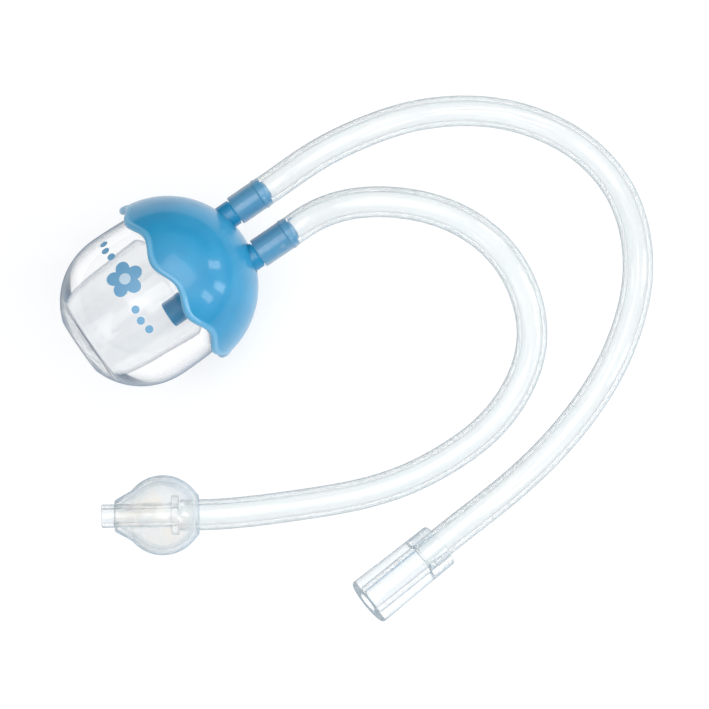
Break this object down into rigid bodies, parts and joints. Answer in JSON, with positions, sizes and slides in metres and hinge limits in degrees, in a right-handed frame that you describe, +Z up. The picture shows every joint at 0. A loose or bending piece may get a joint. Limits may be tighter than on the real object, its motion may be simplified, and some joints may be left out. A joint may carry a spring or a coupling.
{
  "type": "nasal aspirator",
  "caption": "Suction-bottle nasal aspirator: clear egg-shaped jar, domed cap with two ports, a long mouth tube with a mouthpiece and a short nose tube with a soft bulb tip.",
  "frame": {"origin": "on the table, under the middle of the jar, cap and spigots, with the tubes and what is on them left out", "axes": "+Z up; +X level, from the jar's base towards the cap; the jar's axis lies in the XZ plane and rises 11.2 degrees towards +X; the mouth port is on the +Y side"},
  "size_m": [0.1677, 0.1252, 0.046],
  "materials": {
    "jar_plastic": "clear thick moulded plastic, gloss",
    "gasket_silicone": "translucent silicone",
    "lid_plastic": "blue moulded plastic",
    "dome_plastic": "light blue satin moulded plastic",
    "port_plastic": "darker blue moulded plastic",
    "tube_silicone": "clear satin silicone",
    "mouthpiece_plastic": "clear moulded plastic",
    "bulb_silicone": "soft translucent silicone",
    "core_plastic": "clear moulded plastic"
  },
  "bodies": {
    "cap": {"inner_lid": "lid_plastic", "dome_cover": "dome_plastic", "nose_port": "port_plastic", "mouth_port": "port_plastic"},
    "gasket": {"jar_gasket": "gasket_silicone"},
    "jar": {"reservoir_jar": "jar_plastic"},
    "mouth_line": {"mouth_tube": "tube_silicone", "mouth_tube_cuff": "tube_silicone"},
    "mouth_end": {"mouthpiece": "mouthpiece_plastic"},
    "nose_line": {"nose_tube": "tube_silicone", "nose_tube_cuff": "tube_silicone"},
    "nose_tip": {"nose_bulb": "bulb_silicone", "nose_core": "core_plastic"}
  },
  "joints": [
    {"name": "jar_turn", "type": "hinge", "parent": "cap", "child": "gasket", "pos_m": [-0.03026, 0, 0.01718], "axis": [-0.9808, 0, -0.1949], "range_deg": [0, 450]},
    {"name": "jar_travel", "type": "slide", "parent": "gasket", "child": "jar", "axis": [-0.9808, 0, -0.1949], "range_m": [0, 0.003]},
    {"name": "mouth_line_pull", "type": "slide", "parent": "cap", "child": "mouth_line", "axis": [0.9808, 0, 0.1949], "range_m": [0, 0.012]},
    {"name": "mouthpiece_pull", "type": "slide", "parent": "mouth_line", "child": "mouth_end", "axis": [-0.9923, -0.1236, 0], "range_m": [0, 0.008]},
    {"name": "nose_line_pull", "type": "slide", "parent": "cap", "child": "nose_line", "axis": [0.9808, 0, 0.1949], "range_m": [0, 0.012]},
    {"name": "nose_tip_pull", "type": "slide", "parent": "nose_line", "child": "nose_tip", "axis": [-0.8508, 0.5255, 0], "range_m": [0, 0.006]}
  ],
  "couplings": [
    {"joint": "jar_turn", "follows": "jar_travel", "rad_per_m": 2618}
  ]
}
